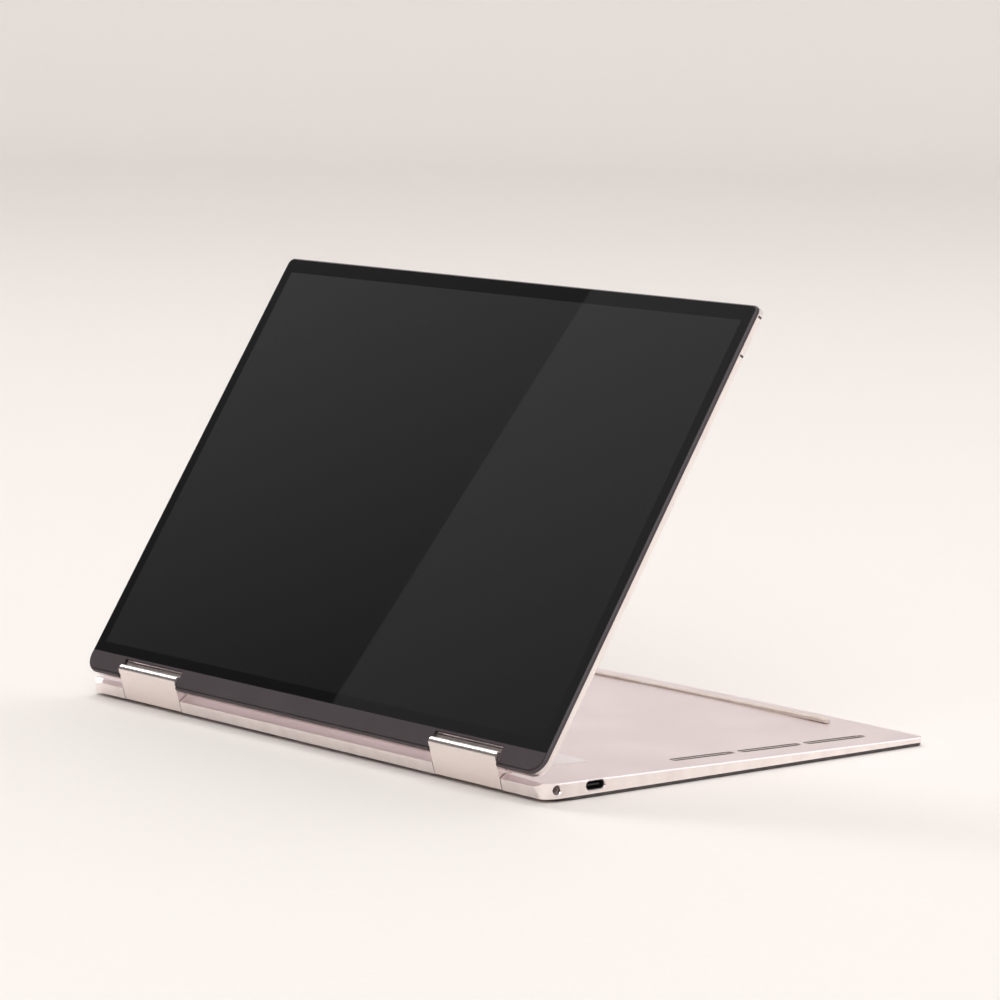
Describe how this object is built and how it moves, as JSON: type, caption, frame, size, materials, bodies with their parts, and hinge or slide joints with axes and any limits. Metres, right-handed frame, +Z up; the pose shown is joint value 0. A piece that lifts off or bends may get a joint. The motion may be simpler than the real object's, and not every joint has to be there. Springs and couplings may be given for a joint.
{
  "type": "laptop computer",
  "caption": "Convertible laptop computer with a lid on a double-axis hinge, folded round into stand position, with keys, touchpad, ports, fans and a slotted cover.",
  "frame": {"origin": "on the table, under the middle of the base's footprint, on the outer face of the keyboard deck", "axes": "+Z up, +X along the hinge towards the side with the audio jack, -Y towards the viewer of the display at rest"},
  "size_m": [0.296, 0.2108, 0.1842],
  "materials": {
    "silver_cover": "fine satin anodised machined aluminium, polished on its side and rear walls",
    "silver_lid": "satin anodised aluminium lid shell",
    "silver_hinge": "bright satin hinge cover",
    "carbon_deck": "dark woven composite deck, matt clear coat",
    "bezel_plastic": "dark warm-grey moulded bezel and bumper",
    "cover_glass": "edge-to-edge toughened glass over a dark panel",
    "display_panel": "unlit display panel behind the glass",
    "foot_rubber": "pale silicone-rubber foot strip",
    "label_film": "blank pale film label",
    "screw_steel": "flat-headed steel screw",
    "sheet_steel": "pressed stainless sheet",
    "hinge_steel": "hardened hinge steel",
    "pad_glass": "satin-etched touchpad surface, dark",
    "key_plastic": "dark soft-touch keycap",
    "power_button_metal": "satin dark button",
    "battery_wrap": "black foil battery wrap",
    "circuit_board": "solder-masked circuit board",
    "chip_package": "moulded chip package",
    "heat_pipe_copper": "flattened copper heat pipe",
    "fin_aluminium": "thin aluminium cooling fins",
    "speaker_mesh": "dark woven steel mesh behind the slots",
    "port_steel": "bright drawn port shell",
    "jack_plastic": "grey-brown moulded jack barrel",
    "magnet_metal": "plated magnet",
    "fan_plastic": "black moulded fan part",
    "speaker_plastic": "black moulded speaker box",
    "camera_plastic": "black camera and microphone parts",
    "antenna_plastic": "dark plastic antenna window"
  },
  "bodies": {
    "base": {"base_cover": "silver_cover", "keyboard_deck": "carbon_deck", "front_foot": "foot_rubber", "rear_foot": "foot_rubber", "rating_label": "label_film", "cover_screws": "screw_steel", "keyboard_tray": "sheet_steel", "touchpad_bracket": "sheet_steel", "battery_cells": "battery_wrap", "battery_board": "circuit_board", "mainboard": "circuit_board", "processor": "chip_package", "memory_chips": "chip_package", "wireless_card": "circuit_board", "heat_pipe": "heat_pipe_copper", "cooling_fins": "fin_aluminium", "speaker_meshes": "speaker_mesh", "usb_port_right": "port_steel", "usb_port_left": "port_steel", "headphone_jack": "jack_plastic", "card_slot": "port_steel", "base_magnets": "magnet_metal", "bracket_screws": "screw_steel", "fan_housing_right": "fan_plastic", "fan_housing_left": "fan_plastic", "speaker_right": "speaker_plastic", "speaker_left": "speaker_plastic", "base_bracket_right": "hinge_steel", "base_bracket_left": "hinge_steel", "base_shaft_right": "hinge_steel", "base_shaft_left": "hinge_steel"},
    "hinge_link": {"hinge_frame_right": "hinge_steel", "hinge_frame_left": "hinge_steel", "hinge_cover_right": "silver_hinge", "hinge_cover_left": "silver_hinge"},
    "lid": {"lid_shell": "silver_lid", "lid_bezel": "bezel_plastic", "cover_glass": "cover_glass", "display_panel": "display_panel", "display_board": "circuit_board", "camera_module": "camera_plastic", "microphones": "camera_plastic", "antenna_inserts": "antenna_plastic", "lid_magnets": "magnet_metal", "lid_bracket_right": "hinge_steel", "lid_bracket_left": "hinge_steel", "lid_shaft_right": "hinge_steel", "lid_shaft_left": "hinge_steel"},
    "fan_rotor_right": {"fan_rotor_right": "fan_plastic"},
    "fan_rotor_left": {"fan_rotor_left": "fan_plastic"},
    "function_keys": {"function_keys": "key_plastic"},
    "number_keys": {"number_keys": "key_plastic"},
    "upper_letter_keys": {"upper_letter_keys": "key_plastic"},
    "home_letter_keys": {"home_letter_keys": "key_plastic"},
    "lower_letter_keys": {"lower_letter_keys": "key_plastic"},
    "bottom_row_keys": {"bottom_row_keys": "key_plastic"},
    "space_bar": {"space_bar": "key_plastic"},
    "power_button": {"power_button": "power_button_metal"},
    "touchpad": {"touchpad": "pad_glass"}
  },
  "joints": [
    {"name": "link_hinge", "type": "hinge", "parent": "base", "child": "hinge_link", "pos_m": [0, -0.1013, 0.00575], "axis": [1, 0, 0], "range_deg": [-29.5, 151.25]},
    {"name": "lid_hinge", "type": "hinge", "parent": "hinge_link", "child": "lid", "pos_m": [0, -0.10371, 0.01389], "axis": [1, 0, 0], "range_deg": [-29.5, 151.25]},
    {"name": "fan_spin_right", "type": "hinge", "parent": "base", "child": "fan_rotor_right", "pos_m": [0.042, -0.0615, 0.0047], "axis": [0, 0, 1], "continuous": true},
    {"name": "fan_spin_left", "type": "hinge", "parent": "base", "child": "fan_rotor_left", "pos_m": [-0.042, -0.0615, 0.0047], "axis": [0, 0, 1], "continuous": true},
    {"name": "function_keys_press", "type": "slide", "parent": "base", "child": "function_keys", "axis": [0, 0, 1], "range_m": [0, 0.0007], "stiffness_N_per_m": 900, "springref_m": -0.0005},
    {"name": "number_keys_press", "type": "slide", "parent": "base", "child": "number_keys", "axis": [0, 0, 1], "range_m": [0, 0.0007], "stiffness_N_per_m": 900, "springref_m": -0.0005},
    {"name": "upper_letter_keys_press", "type": "slide", "parent": "base", "child": "upper_letter_keys", "axis": [0, 0, 1], "range_m": [0, 0.0007], "stiffness_N_per_m": 900, "springref_m": -0.0005},
    {"name": "home_letter_keys_press", "type": "slide", "parent": "base", "child": "home_letter_keys", "axis": [0, 0, 1], "range_m": [0, 0.0007], "stiffness_N_per_m": 900, "springref_m": -0.0005},
    {"name": "lower_letter_keys_press", "type": "slide", "parent": "base", "child": "lower_letter_keys", "axis": [0, 0, 1], "range_m": [0, 0.0007], "stiffness_N_per_m": 900, "springref_m": -0.0005},
    {"name": "bottom_row_keys_press", "type": "slide", "parent": "base", "child": "bottom_row_keys", "axis": [0, 0, 1], "range_m": [0, 0.0007], "stiffness_N_per_m": 900, "springref_m": -0.0005},
    {"name": "space_bar_press", "type": "slide", "parent": "base", "child": "space_bar", "axis": [0, 0, 1], "range_m": [0, 0.0007], "stiffness_N_per_m": 600, "springref_m": -0.0005},
    {"name": "power_button_press", "type": "slide", "parent": "base", "child": "power_button", "axis": [0, 0, 1], "range_m": [0, 0.0005], "stiffness_N_per_m": 600, "springref_m": -0.0005},
    {"name": "touchpad_click", "type": "hinge", "parent": "base", "child": "touchpad", "pos_m": [0, 0.0205, 0.0007], "axis": [1, 0, 0], "range_deg": [0, 0.3], "stiffness_Nm_per_rad": 20, "springref_deg": -0.34}
  ],
  "couplings": [
    {"joint": "lid_hinge", "follows": "link_hinge", "ratio": 1}
  ]
}
